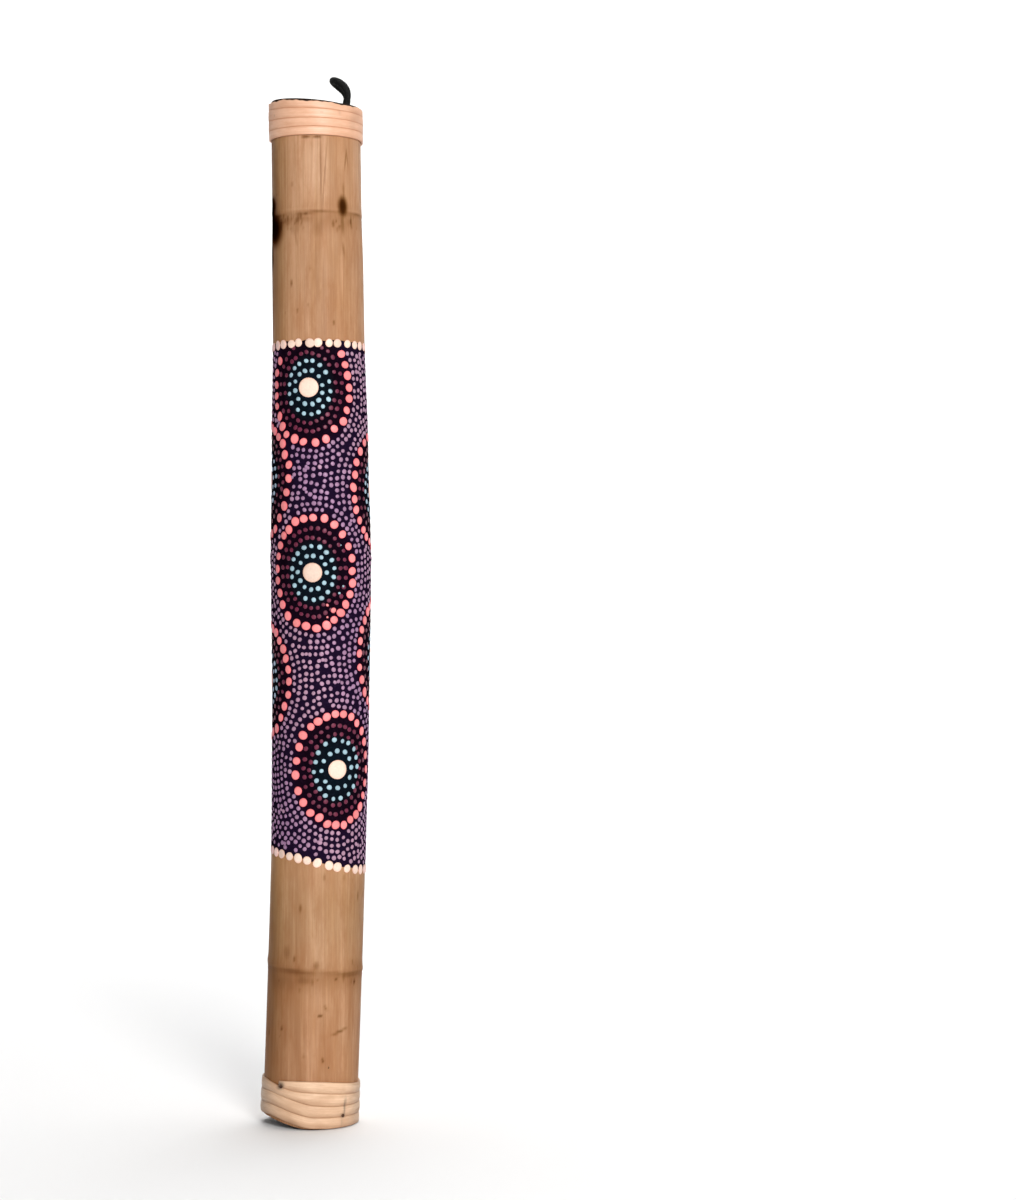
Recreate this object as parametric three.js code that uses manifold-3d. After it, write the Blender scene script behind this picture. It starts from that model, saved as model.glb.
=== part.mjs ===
// A rainstick: a bowed bamboo tube with a painted middle and cane-bound ends. A staircase of
// pegs crosses its bore, loose grains fall past them, a plug shuts each end, and a cord loop
// hangs it up. Millimetres, +Z up. The origin is the centre of the foot, the front faces -Y,
// and an azimuth is measured in degrees from the front, growing towards +X.

import * as THREE from 'three';
import { mergeVertices } from 'three/addons/utils/BufferGeometryUtils.js';
import Module from 'manifold-3d';

const wasm = await Module();
wasm.setup();

// ---------- driving dimensions ----------

const HEIGHT = 600; // length of the tube
const SIDES = 24; // facets round the tube, its wraps and its plugs
const GAP = 0.3; // air left between touching pieces
const WALL = 5; // thickness of the bamboo

// The foot is level from this X on, and to the left of it is cut askew, rising by this angle.
const FOOT_EDGE = -4;
const FOOT_SLOPE = 15.7; // degrees

// The top is cut askew too: it is level from this X on, and rises to the left of it.
const TOP_EDGE = 18;
const TOP_SLOPE = 5; // degrees
const TOP_REACH = 22; // height over which the wound strip takes up the skew

// The tube leans and bows towards +X.
const LEAN = 3.6; // offset of the top from the foot
const BOW = 5.0; // bulge of the middle
const SWAY = 0.6; // how much more the lower half bulges than the upper

// Outer radius of the tube at a few heights, joined by smooth steps.
const GIRTH = [
  [0, 27.8],
  [160, 27.9],
  [235, 28.5],
  [335, 29.5],
  [400, 28.4],
  [460, 27.1],
  [505, 27.0],
  [540, 26.4],
  [HEIGHT, 26.4],
];

// The bamboo's joints: a ridge outside, and inside what is left of the knocked-out wall.
const JOINTS = [
  { height: 92, ridge: 0.5, ledge: 1.5 },
  { height: 332, ridge: 0.3, ledge: 1.5 },
  { height: 536, ridge: 0.2, ledge: 1.2 },
];
const JOINT_REACH = 5; // half the height of a ridge or ledge
const ROW_STEP = 40; // spacing of the tube's plain rows

// Pegs cross one upright line, so that straight channels stay open between them.
const PEG_COUNT = 35;
const PEG_RADIUS = 1.0;
const PEG_SIDES = 8;
const PEG_FIRST = 36; // height of the lowest peg
const PEG_PITCH = 15;
const PEG_START = 15; // azimuth of the lowest peg's outer end
const PEG_TURN = -30; // turn from one peg to the next one up
const PEG_SUNK = 0.4; // depth of its outer end under the surface
const PEG_SHORT = 1.5; // air between its inner end and the far wall
const CHORD_X = 3.8; // where that upright line stands

const GRAIN_COUNT = 12;
const GRAIN_RADIUS = 2.0;
const CHANNEL_RADIUS = 14.5; // distance of the grains from the upright line

const PLUG_THICKNESS = 8;
const PLUG_PLAY = 0.45; // air round a plug in the bowed bore

// A cane strip winds down to the right. The skew cuts at the ends of the tube trim its edges.
const CANE_THICKNESS = 1.3;
const UPPER_WRAP = {
  phase: 60, // azimuth at which it completes each turn
  begin: 0, // turns at its first end
  end: 4 + 1 / 6,
  top: 604.15, // height of its upper edge in the first turn, before the cut
  pitch: 4.93,
  crossing: 1, // share of a turn over which it drops one pitch
  tilt: 0.85, // how much further up it lies on the right, and further down on the left
  sag: 0, // how much further up it lies on both sides
};
const LOWER_WRAP = {
  phase: -20,
  begin: -0.06,
  end: 3.69,
  top: 28.1,
  pitch: 6.85,
  crossing: 1 / 8,
  tilt: -1.9,
  sag: -2.3,
};
const LEVEL_TOP = HEIGHT - 0.6;
const LEVEL_FOOT = 0.3;

// Nails pin the strips to the bamboo.
const NAIL = { radius: 0.7, headRadius: 1.3, headThickness: 0.6, depth: 3, sides: 8 };
const UPPER_NAILS = [
  { azimuth: 110, height: 582.3 },
  { azimuth: -150, height: 600.2 },
];
const LOWER_NAILS = [
  { azimuth: -37, height: 24.8 },
  { azimuth: 41, height: 7.2 },
];

// The loop's route from where it leaves the knot up to its crown, from the centre of the top
// end. The other half is its mirror image in Y.
const CORD_RADIUS = 2.1;
const CORD_SIDES = 10;
const CORD_STEPS = 36;
const NOTCH_SIDES = 12; // facets round the notches in the top plug
const LOOP_HALF = [
  [17.5, 6.6, -8.0],
  [17.5, 6.6, -4.0],
  [17.6, 6.7, -0.5],
  [18.0, 7.0, 2.5],
  [18.6, 7.6, 5.3],
  [18.7, 8.3, 8.0],
  [18.0, 8.9, 10.5],
  [16.5, 9.1, 12.6],
  [14.6, 8.6, 14.2],
  [12.8, 7.2, 15.4],
  [11.4, 5.1, 16.2],
  [10.5, 2.6, 16.7],
  [10.2, 0.0, 16.9],
];
const KNOT_RADIUS = 3.3;
const KNOT_INSET = 1.2; // how far a knot sits nearer the axis than its leg

// ---------- colours ----------

const finish = (color, roughness) =>
  new THREE.MeshStandardMaterial({ color, roughness, metalness: 0 });
const BAMBOO = finish(0xc89b78, 0.5);
const CANE = finish(0xf0c8a4, 0.6);
const PLUG_WOOD = finish(0x2b2320, 0.7);
const CORD = finish(0x141414, 0.8);
const PEG_WOOD = finish(0x6b4a2e, 0.7);
const SEED = finish(0x8a6a48, 0.6);
const IRON = new THREE.MeshStandardMaterial({ color: 0x3a3532, roughness: 0.5, metalness: 0.8 });

// ---------- shape of the tube ----------

const radians = THREE.MathUtils.degToRad;

/** X of the tube's centre at height z. */
function centre(z) {
  const t = z / HEIGHT;
  return LEAN * t + BOW * Math.sin(Math.PI * t) + SWAY * Math.sin(2 * Math.PI * t);
}

/** Outer radius at height z, without the joints' ridges. */
function girth(z) {
  const above = Math.max(1, GIRTH.findIndex(([height]) => height >= z));
  const [lowHeight, lowRadius] = GIRTH[above - 1];
  const [highHeight, highRadius] = GIRTH[above];
  return THREE.MathUtils.lerp(
    lowRadius,
    highRadius,
    THREE.MathUtils.smoothstep(z, lowHeight, highHeight),
  );
}

/** How much a joint's ridge or ledge adds at height z. */
function swelling(z, kind) {
  return JOINTS.reduce((sum, joint) => {
    const closeness = Math.max(0, 1 - Math.abs(z - joint.height) / JOINT_REACH);
    return sum + joint[kind] * closeness;
  }, 0);
}

const outerRadius = (z) => girth(z) + swelling(z, 'ridge');
const boreRadius = (z) => girth(z) - WALL - swelling(z, 'ledge');

/** Heights at which the tube's surface has a row of corners. */
function tubeRows() {
  const rows = [];
  for (let z = 0; z <= HEIGHT; z += ROW_STEP) {
    if (JOINTS.every((joint) => Math.abs(z - joint.height) > 2 * JOINT_REACH)) rows.push(z);
  }
  for (const { height } of JOINTS) {
    rows.push(height - JOINT_REACH, height, height + JOINT_REACH);
  }
  return rows.sort((a, b) => a - b);
}

/** How far the skew top lifts a point: in full at the top, and fading out below it. */
function topRise(x, z) {
  const share = THREE.MathUtils.clamp((z - HEIGHT) / TOP_REACH + 1, 0, 1);
  return share ** 2 * Math.max(0, TOP_EDGE - x) * Math.tan(radians(TOP_SLOPE));
}

/** Distance from the upright line to a wall of the given radius, in the azimuth's direction. */
function reach(z, azimuth, radius) {
  const offset = CHORD_X - centre(z);
  const along = offset * Math.sin(radians(azimuth));
  return Math.sqrt(radius ** 2 - offset ** 2 + along ** 2) - along;
}

// ---------- solids ----------

/** A manifold solid of a closed three.js geometry. */
function solid(geometry) {
  const bare = geometry.clone();
  bare.deleteAttribute('normal');
  bare.deleteAttribute('uv');
  const merged = mergeVertices(bare);
  return new wasm.Manifold(
    new wasm.Mesh({
      numProp: 3,
      vertProperties: new Float32Array(merged.attributes.position.array),
      triVerts: new Uint32Array(merged.index.array),
    }),
  );
}

/** A three.js geometry of a manifold solid. */
function geometryOf(manifold) {
  const { vertProperties, triVerts } = manifold.getMesh();
  const geometry = new THREE.BufferGeometry();
  geometry.setAttribute('position', new THREE.BufferAttribute(vertProperties, 3));
  geometry.setIndex(new THREE.BufferAttribute(triVerts, 1));
  geometry.computeVertexNormals();
  return geometry;
}

/** The first geometry without the others. */
function cut(geometry, cutters) {
  const start = solid(geometry);
  return geometryOf(cutters.reduce((rest, cutter) => rest.subtract(solid(cutter)), start));
}

/** An upright prism, of its radius at the corners, that starts at height z. */
function disc(radius, thickness, x, z, sides = SIDES) {
  const geometry = new THREE.CylinderGeometry(radius, radius, thickness, sides);
  geometry.rotateX(Math.PI / 2);
  geometry.translate(x, 0, z + thickness / 2);
  return geometry;
}

/** A level rod from distance `near` to distance `far` of the point (x, 0, z). */
function rod(radius, sides, x, z, azimuth, near, far) {
  const geometry = new THREE.CylinderGeometry(radius, radius, far - near, sides);
  geometry.translate(0, -(near + far) / 2, 0);
  geometry.rotateZ(radians(azimuth));
  geometry.translate(x, 0, z);
  return geometry;
}

/** What the skew cut takes off the foot. */
function footWedge() {
  const size = 4 * outerRadius(0);
  const geometry = new THREE.BoxGeometry(size, size, size / 4);
  geometry.translate(-size / 2, 0, -size / 8);
  geometry.rotateY(radians(FOOT_SLOPE));
  geometry.translate(FOOT_EDGE, 0, 0);
  return geometry;
}

/** The tube before it is drilled: a turned shape, pushed sideways along its bow, its top askew. */
function bareTube() {
  const rows = tubeRows();
  const outside = rows.map((z) => new THREE.Vector2(outerRadius(z), z));
  const inside = rows.map((z) => new THREE.Vector2(boreRadius(z), z)).reverse();
  const profile = [...outside, ...inside, outside[0]];
  const geometry = new THREE.LatheGeometry(profile, SIDES);
  geometry.rotateX(Math.PI / 2);
  const position = geometry.attributes.position;
  for (let i = 0; i < position.count; i += 1) {
    const z = position.getZ(i);
    const x = position.getX(i) + centre(z);
    position.setXYZ(i, x, position.getY(i), z + topRise(x, z));
  }
  return geometry;
}

/** Pitches dropped by a strip's edge after n turns round the tube. */
function drop(n, crossing) {
  const whole = Math.floor(n);
  return whole + THREE.MathUtils.clamp((n - whole - 1 + crossing) / crossing, 0, 1);
}

/** A flat cane strip wound round the tube: a long box bent onto the helix. */
function wrap({ phase, begin, end, top, pitch, crossing, tilt, sag }) {
  const steps = Math.round((end - begin) * SIDES);
  const geometry = new THREE.BoxGeometry(1, 1, 1, steps, 1, 1);
  const position = geometry.attributes.position;
  for (let i = 0; i < position.count; i += 1) {
    const n = THREE.MathUtils.lerp(begin, end, 0.5 - position.getX(i));
    const azimuth = radians(phase + 360 * n);
    const swing = tilt * Math.sin(azimuth) + sag * Math.sin(azimuth) ** 2;
    const upper = top + swing - pitch * Math.max(0, drop(n, crossing));
    const lower = top + swing - pitch * drop(n + 1, crossing) + GAP;
    const edge = position.getZ(i) > 0 ? upper : lower;
    const z = THREE.MathUtils.clamp(edge, LEVEL_FOOT, LEVEL_TOP);
    const lift = position.getY(i) > 0 ? GAP + CANE_THICKNESS : GAP;
    const radius = outerRadius(z) + lift;
    const x = centre(z) + radius * Math.sin(azimuth);
    position.setXYZ(i, x, -radius * Math.cos(azimuth), z + topRise(x, z));
  }
  return geometry;
}

/** A nail's shank, and the hole that clears it. */
function shank({ azimuth, height }, play) {
  const surface = outerRadius(height);
  const head = surface + 2 * GAP + CANE_THICKNESS;
  const tip = surface - NAIL.depth - play;
  return rod(NAIL.radius + play, NAIL.sides, centre(height), height, azimuth, tip, head + play);
}

/** A nail: its shank joined to its flat head, which stands on the strip. */
function nail(place) {
  const { azimuth, height } = place;
  const seat = outerRadius(height) + 2 * GAP + CANE_THICKNESS;
  const crown = seat + NAIL.headThickness;
  const x = centre(height);
  const head = rod(NAIL.headRadius, NAIL.sides, x, height, azimuth, seat - GAP / 2, crown);
  return geometryOf(solid(shank(place, 0)).add(solid(head)));
}

/** The place of peg number i: its height, its azimuth and the distances of its ends. */
function pegPlace(i) {
  const z = PEG_FIRST + PEG_PITCH * i;
  const azimuth = PEG_START + PEG_TURN * i;
  const far = reach(z, azimuth, outerRadius(z)) - PEG_SUNK;
  const near = PEG_SHORT - reach(z, azimuth + 180, boreRadius(z));
  return { z, azimuth, near, far };
}

/** The hole for a peg, through the near wall only. */
function pegHole({ z, azimuth, far }) {
  const start = reach(z, azimuth, boreRadius(z)) - WALL;
  return rod(PEG_RADIUS + GAP, PEG_SIDES, CHORD_X, z, azimuth, start, far + WALL);
}

/** A rounded lump of the given radius. */
const lump = (radius) => new THREE.IcosahedronGeometry(radius, 1);

/** The hanging loop, through all the points of both halves. */
function loopCord() {
  const half = LOOP_HALF.map(([x, y, z]) => new THREE.Vector3(x, y, z));
  const mirrored = LOOP_HALF.slice(0, -1).map(([x, y, z]) => new THREE.Vector3(x, -y, z));
  const route = new THREE.CatmullRomCurve3([...half, ...mirrored.reverse()]);
  const section = new THREE.Shape(
    Array.from({ length: CORD_SIDES }, (_, i) => {
      const angle = (2 * Math.PI * i) / CORD_SIDES;
      return new THREE.Vector2(CORD_RADIUS * Math.cos(angle), CORD_RADIUS * Math.sin(angle));
    }),
  );
  return new THREE.ExtrudeGeometry(section, { steps: CORD_STEPS, extrudePath: route });
}

// ---------- assembly ----------

const rainstick = new THREE.Group();
const TOP_CENTRE = centre(HEIGHT);

/** Adds a named piece and gives it back to be placed. */
function piece(name, geometry, material) {
  const mesh = new THREE.Mesh(geometry, material);
  mesh.name = name;
  rainstick.add(mesh);
  return mesh;
}

const numbered = (name, i) => `${name}_${String(i + 1).padStart(2, '0')}`;

const pegs = Array.from({ length: PEG_COUNT }, (_, i) => pegPlace(i));
const nailHoles = (nails) => nails.map((place) => shank(place, GAP));
const drilled = [...pegs.map(pegHole), ...nailHoles(UPPER_NAILS), ...nailHoles(LOWER_NAILS)];

piece('bamboo_tube', cut(bareTube(), [...drilled, footWedge()]), BAMBOO);
piece('upper_cane_wrap', cut(wrap(UPPER_WRAP), nailHoles(UPPER_NAILS)), CANE);
const lowerCuts = [...nailHoles(LOWER_NAILS), footWedge()];
piece('lower_cane_wrap', cut(wrap(LOWER_WRAP), lowerCuts), CANE);
UPPER_NAILS.forEach((place, i) => piece(`upper_nail_${i + 1}`, nail(place), IRON));
LOWER_NAILS.forEach((place, i) => piece(`lower_nail_${i + 1}`, nail(place), IRON));

// Plugs shut the ends, and the top one is notched for the loop's two legs.
const bottomPlug = disc(boreRadius(0) - PLUG_PLAY, PLUG_THICKNESS, centre(PLUG_THICKNESS / 2), 0);
piece('bottom_plug', cut(bottomPlug, [footWedge()]), PLUG_WOOD);

const plugFloor = HEIGHT - PLUG_THICKNESS;
const topPlug = disc(
  boreRadius(HEIGHT) - PLUG_PLAY,
  PLUG_THICKNESS,
  centre(HEIGHT - PLUG_THICKNESS / 2),
  plugFloor,
);
const [legX, legY] = LOOP_HALF[0];
const notches = [legY, -legY].map((y) => {
  const length = 2 * PLUG_THICKNESS;
  const start = plugFloor - PLUG_THICKNESS / 2;
  const drill = disc(CORD_RADIUS + GAP, length, TOP_CENTRE + legX, start, NOTCH_SIDES);
  return drill.translate(0, y, 0);
});
piece('top_plug', cut(topPlug, notches), PLUG_WOOD);

// The loop, and the knots that keep its legs from pulling out.
piece('hanging_loop', loopCord(), CORD).position.set(TOP_CENTRE, 0, HEIGHT);
[legY, -legY].forEach((y, i) => {
  const knot = piece(`loop_knot_${i + 1}`, lump(KNOT_RADIUS), CORD);
  const x = TOP_CENTRE + legX - KNOT_INSET;
  knot.position.set(x, y - Math.sign(y) * GAP, plugFloor - GAP - KNOT_RADIUS);
});

pegs.forEach(({ z, azimuth, near, far }, i) => {
  const shape = rod(PEG_RADIUS, PEG_SIDES, CHORD_X, z, azimuth, near, far);
  piece(numbered('peg', i), shape, PEG_WOOD);
});

// One grain in each channel between two neighbouring peg directions, at rest on the plug.
for (let i = 0; i < GRAIN_COUNT; i += 1) {
  const azimuth = radians(PEG_START + PEG_TURN * (i + 0.5));
  const grain = piece(numbered('grain', i), lump(GRAIN_RADIUS), SEED);
  grain.position.set(
    CHORD_X + CHANNEL_RADIUS * Math.sin(azimuth),
    -CHANNEL_RADIUS * Math.cos(azimuth),
    PLUG_THICKNESS + GAP + GRAIN_RADIUS,
  );
}

export default rainstick;
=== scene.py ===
"""The looks of a rainstick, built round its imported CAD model.

Metres, +Z up. The painted front faces -Y, and an azimuth is measured from the front, growing
towards +X. The tube's shape comes first, then helpers and materials, then the pieces: bamboo,
paint, cane strips, nails, pegs, grains, plugs and cord loop. The stage is last.
"""

import math

import bmesh
import bpy
import numpy as np
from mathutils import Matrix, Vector


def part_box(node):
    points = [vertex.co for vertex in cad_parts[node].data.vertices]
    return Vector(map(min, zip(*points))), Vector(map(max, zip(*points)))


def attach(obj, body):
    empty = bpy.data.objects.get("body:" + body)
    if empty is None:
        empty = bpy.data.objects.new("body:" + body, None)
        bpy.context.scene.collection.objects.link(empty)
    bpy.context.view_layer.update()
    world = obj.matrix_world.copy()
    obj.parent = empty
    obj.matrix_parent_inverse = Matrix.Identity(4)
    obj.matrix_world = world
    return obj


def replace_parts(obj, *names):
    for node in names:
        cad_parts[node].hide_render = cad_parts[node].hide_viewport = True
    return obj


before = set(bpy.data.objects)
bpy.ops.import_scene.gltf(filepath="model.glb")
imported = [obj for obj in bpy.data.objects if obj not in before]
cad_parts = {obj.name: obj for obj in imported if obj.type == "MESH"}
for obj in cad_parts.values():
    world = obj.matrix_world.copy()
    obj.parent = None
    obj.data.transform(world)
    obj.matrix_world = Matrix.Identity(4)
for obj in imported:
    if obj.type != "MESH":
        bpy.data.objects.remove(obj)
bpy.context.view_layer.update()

rng = np.random.default_rng(20)
TAU = 2 * math.pi
MM = 0.001


# ---- shape of the tube

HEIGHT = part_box("top_plug")[1].z
LEAN, BOW, SWAY = 3.6 * MM, 5.0 * MM, 0.6 * MM
WALL = 5 * MM

# The foot is level from this X on, and rises to the left of it.
FOOT_EDGE, FOOT_SLOPE = -4 * MM, math.tan(math.radians(15.7))
FOOT_BEND = 2 * MM  # how gently the level part bends into the skew part
FOOT_BLEND = 12 * MM  # height over which the tube's rows take up the skew cut
# The top is level from this X on, and also rises to the left of it.
TOP_EDGE, TOP_SLOPE = 18 * MM, math.tan(math.radians(5))
TOP_BLEND = 22 * MM

# Heights and outer radii, without the joints.
GIRTH = np.array(
    [
        (0.000, 0.0278),
        (0.160, 0.0279),
        (0.235, 0.0285),
        (0.335, 0.0295),
        (0.400, 0.0284),
        (0.460, 0.0271),
        (0.505, 0.0270),
        (0.540, 0.0264),
        (0.600, 0.0264),
    ]
)


def bamboo_joint(stain, **sizes):
    """How dark a joint's line is, and in mm the joint's height, its tilt (further up on the
    right), the ridge and groove on the skin, the ledge in the bore and the dark line."""
    return {"stain": stain} | {key: size * MM for key, size in sizes.items()}


JOINTS = [
    bamboo_joint(0.5, height=92, tilt=-2.1, ridge=0.45, groove=0.3, ledge=1.5, line=1.9),
    bamboo_joint(0.5, height=332, tilt=0.5, ridge=0.35, groove=0.0, ledge=1.5, line=1.0),
    bamboo_joint(0.62, height=536, tilt=0.3, ridge=0.2, groove=0.3, ledge=1.2, line=0.8),
]


def centre(z):
    """X of the tube's centre at height z."""
    t = np.asarray(z) / HEIGHT
    return LEAN * t + BOW * np.sin(np.pi * t) + SWAY * np.sin(2 * np.pi * t)


def girth(z):
    """Outer radius at height z, without the joints."""
    z = np.clip(z, 0, HEIGHT)
    above = np.clip(np.searchsorted(GIRTH[:, 0], z), 1, len(GIRTH) - 1)
    low, high = GIRTH[above - 1], GIRTH[above]
    t = np.clip((z - low[..., 0]) / (high[..., 0] - low[..., 0]), 0, 1)
    return low[..., 1] + (high[..., 1] - low[..., 1]) * t * t * (3 - 2 * t)


def bell(distance, width):
    """A smooth bump of height 1 that fades over width."""
    return np.exp(-((distance / width) ** 2))


def foot_level(azimuth, radius):
    """Height of the foot's cut at a distance from the tube's centre."""
    beyond = FOOT_EDGE - radius * np.sin(azimuth)
    return FOOT_BEND * np.logaddexp(0, beyond / FOOT_BEND) * FOOT_SLOPE


def off_foot(azimuth, z, radius):
    """Heights near the foot, squeezed up so that they start at its cut."""
    share = np.clip(1 - z / FOOT_BLEND, 0, 1)
    return z + share * foot_level(azimuth, radius)


def off_top(azimuth, z, radius):
    """Heights near the top, stretched up to its skew cut."""
    share = np.clip(1 - (HEIGHT - z) / TOP_BLEND, 0, 1)
    x = centre(HEIGHT) + radius * np.sin(azimuth)
    return z + share**2 * np.maximum(0, TOP_EDGE - x) * TOP_SLOPE


def joint_line(joint, azimuth):
    """Height of a joint's ring at an azimuth: tilted, and a little wavy."""
    wave = 0.35 * MM * np.sin(3 * azimuth + 1) + 0.25 * MM * np.sin(7 * azimuth)
    return joint["height"] + joint["tilt"] * np.sin(azimuth) + wave


def outer_radius(azimuth, z):
    """Radius of the bamboo's skin, with its joints' ridges and grooves."""
    radius = girth(z)
    for joint in JOINTS:
        above = z - joint_line(joint, azimuth)
        radius = radius + joint["ridge"] * bell(above - 1.2 * MM, 3.2 * MM)
        radius = radius - joint["groove"] * bell(above + 0.8 * MM, 0.7 * MM)
    return radius


def skin(azimuth, z, lift=0.0):
    """Points of the bamboo's skin, raised by lift."""
    azimuth, z = np.broadcast_arrays(azimuth, z)
    radius = outer_radius(azimuth, z) + lift
    x = centre(z) + radius * np.sin(azimuth)
    return np.stack([x, -radius * np.cos(azimuth), z], axis=-1)


# ---- mesh helpers


def spaced(count):
    """Angles spaced evenly round a circle."""
    return np.arange(count) * TAU / count


def put(name, data):
    """A new object in the scene."""
    thing = bpy.data.objects.new(name, data)
    bpy.context.scene.collection.objects.link(thing)
    return thing


def piece_of(mesh, name, body="stick"):
    """A smooth piece made of a mesh, riding on a body."""
    mesh.polygons.foreach_set("use_smooth", [True] * len(mesh.polygons))
    mesh.update()
    piece = put(name, mesh)
    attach(piece, body)
    return piece


def mesh_piece(name, points, faces):
    """A piece of the stick from points and faces."""
    mesh = bpy.data.meshes.new(name)
    mesh.from_pydata([tuple(p) for p in np.asarray(points, float).reshape(-1, 3)], [], faces)
    mesh.validate()
    return piece_of(mesh, name)


def grid_faces(rows, columns, wrap_rows=False):
    """Quads between rows of points that each close on themselves, as the rows too may do."""
    faces = []
    for r in range(rows if wrap_rows else rows - 1):
        below, above = r * columns, (r + 1) % rows * columns
        for c in range(columns):
            d = (c + 1) % columns
            faces.append((below + c, below + d, above + d, above + c))
    return faces


def capped_grid(rows, columns):
    """Quads between closed rows of points, and a face over each end."""
    ends = [tuple(reversed(range(columns))), tuple(range((rows - 1) * columns, rows * columns))]
    return grid_faces(rows, columns) + ends


def colour_layer(piece, name, colours):
    """A colour for each point of a mesh, as an attribute that materials read."""
    layer = piece.data.color_attributes.new(name, "FLOAT_COLOR", "POINT")
    rgba = np.ones((len(piece.data.vertices), 4), np.float32)
    rgba[:, :3] = colours
    layer.data.foreach_set("color", rgba.ravel())


def linear(red, green, blue):
    """A linear colour from one given in 0 to 255 screen values."""
    values = np.array([red, green, blue]) / 255
    return tuple(np.where(values <= 0.04045, values / 12.92, ((values + 0.055) / 1.055) ** 2.4))


# ---- material helpers


class Shader:
    """A material under construction, with short calls for its nodes."""

    def __init__(self, name, roughness, **inputs):
        self.material = bpy.data.materials.new(name)
        self.material.use_nodes = True
        self.tree = self.material.node_tree
        self.surface = self.tree.nodes["Principled BSDF"]
        self.surface.inputs["Roughness"].default_value = roughness
        for key, value in inputs.items():
            self.surface.inputs[key.replace("_", " ")].default_value = value

    def node(self, kind, settings=None, **links):
        """A new node, with its settings and with values or links for its inputs."""
        node = self.tree.nodes.new("ShaderNode" + kind)
        for key, value in (settings or {}).items():
            setattr(node, key, value)
        for key, value in links.items():
            self.set(node.inputs[key.replace("_", " ")], value)
        return node

    def set(self, socket, value):
        """Links a socket to another one, or sets its value."""
        if isinstance(value, bpy.types.NodeSocket):
            self.tree.links.new(value, socket)
        else:
            socket.default_value = value

    def place(self, *scale):
        """Object coordinates, scaled by x, y and z, or by one number."""
        scale = scale if len(scale) == 3 else scale * 3
        source = self.node("TexCoord").outputs["Object"]
        return self.node("Mapping", Vector=source, Scale=scale).outputs["Vector"]

    def noise(self, vector, detail, roughness=0.6):
        """A cloudy factor with features about a unit wide."""
        node = self.node("TexNoise", Vector=vector, Scale=1, Detail=detail, Roughness=roughness)
        return node.outputs["Fac"]

    def ramp(self, factor, stops):
        """A colour ramp with (position, colour) stops."""
        node = self.node("ValToRGB", Fac=factor)
        elements = node.color_ramp.elements
        while len(elements) < len(stops):
            elements.new(0.5)
        for element, (position, colour) in zip(elements, stops):
            element.position = position
            element.color = (*colour, 1)
        return node.outputs["Color"]

    def mix(self, factor, first, second, blend="MIX"):
        node = self.node("Mix", {"data_type": "RGBA", "blend_type": blend})
        self.set(node.inputs[0], factor)
        for socket, value in ((node.inputs[6], first), (node.inputs[7], second)):
            self.set(socket, (*value, 1) if isinstance(value, tuple) else value)
        return node.outputs[2]

    def attribute(self, name):
        return self.node("Attribute", {"attribute_name": name}).outputs["Color"]

    def span(self, factor, low, high, start=0.3, end=0.7):
        """A factor from start to end spread from low to high."""
        node = self.node("MapRange", Value=factor)
        ends = {"From Min": start, "From Max": end, "To Min": low, "To Max": high}
        for key, value in ends.items():
            node.inputs[key].default_value = value
        return node.outputs["Result"]

    def bump(self, height, distance, strength):
        node = self.node("Bump", Height=height, Distance=distance, Strength=strength)
        self.set(self.surface.inputs["Normal"], node.outputs["Normal"])

    def finish(self, colour, roughness=None):
        """Sets the surface's colour and roughness, and gives the material."""
        self.set(self.surface.inputs["Base Color"], colour)
        if roughness is not None:
            self.set(self.surface.inputs["Roughness"], roughness)
        return self.material


# ---- materials


def bamboo_material():
    """Dry bamboo: brown and golden clouds, fine fibres, and marks and painted shade from the tone
    layer.
    """
    s = Shader("bamboo_skin", 0.55)
    bands = s.noise(s.place(60, 60, 3), detail=4)
    clouds = s.noise(s.place(42, 42, 24), detail=5, roughness=0.65)
    fibres = s.noise(s.place(1500, 1500, 42), detail=3)
    threads = s.noise(s.place(620, 620, 9), detail=2)
    blotches = s.noise(s.place(150, 150, 36), detail=4, roughness=0.7)
    base = s.ramp(
        bands,
        [
            (0.30, linear(164, 119, 87)),
            (0.46, linear(190, 145, 112)),
            (0.58, linear(203, 158, 127)),
            (0.76, linear(184, 137, 97)),
        ],
    )
    base = s.mix(s.span(clouds, -0.1, 0.62), base, linear(174, 121, 82))
    base = s.mix(s.span(threads, 0.32, -0.06), base, linear(138, 94, 60))
    base = s.mix(s.span(fibres, 0.22, -0.06), base, linear(128, 88, 58))
    base = s.mix(s.span(blotches, -0.25, 0.5), base, linear(158, 104, 68))
    tone_layer = s.attribute("tone")
    colour = s.mix(1.0, base, tone_layer, "MULTIPLY")
    s.set(s.surface.inputs["Specular IOR Level"], s.span(tone_layer, 0.0, 0.18, 0.1, 0.9))
    s.bump(fibres, 0.00015, 0.6)
    return s.finish(colour, s.span(clouds, 0.45, 0.65))


def cut_end_material():
    """The cut ends of the bamboo, painted dark and rubbed."""
    s = Shader("end_paint", 0.8, Specular_IOR_Level=0.05)
    grit = s.noise(s.place(700), detail=3)
    stops = [(0.35, linear(24, 17, 14)), (0.6, linear(48, 34, 27)), (0.78, linear(104, 76, 56))]
    colour = s.ramp(grit, stops)
    s.bump(grit, 0.0002, 0.5)
    return s.finish(colour, s.span(grit, 0.7, 0.9))


def ground_material():
    """The dark paint under the dots, tinted by the ground layer, with faint brush marks."""
    s = Shader("paint_ground", 0.75, Specular_IOR_Level=0.0)
    brush = s.noise(s.place(500, 500, 60), detail=3)
    weave = s.noise(s.place(1500), detail=2)
    colour = s.mix(s.span(brush, 0.0, 0.16), s.attribute("ground"), linear(36, 20, 38))
    s.bump(s.mix(0.5, brush, weave), 0.00015, 0.6)
    return s.finish(colour, s.span(brush, 0.65, 0.85))


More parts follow.
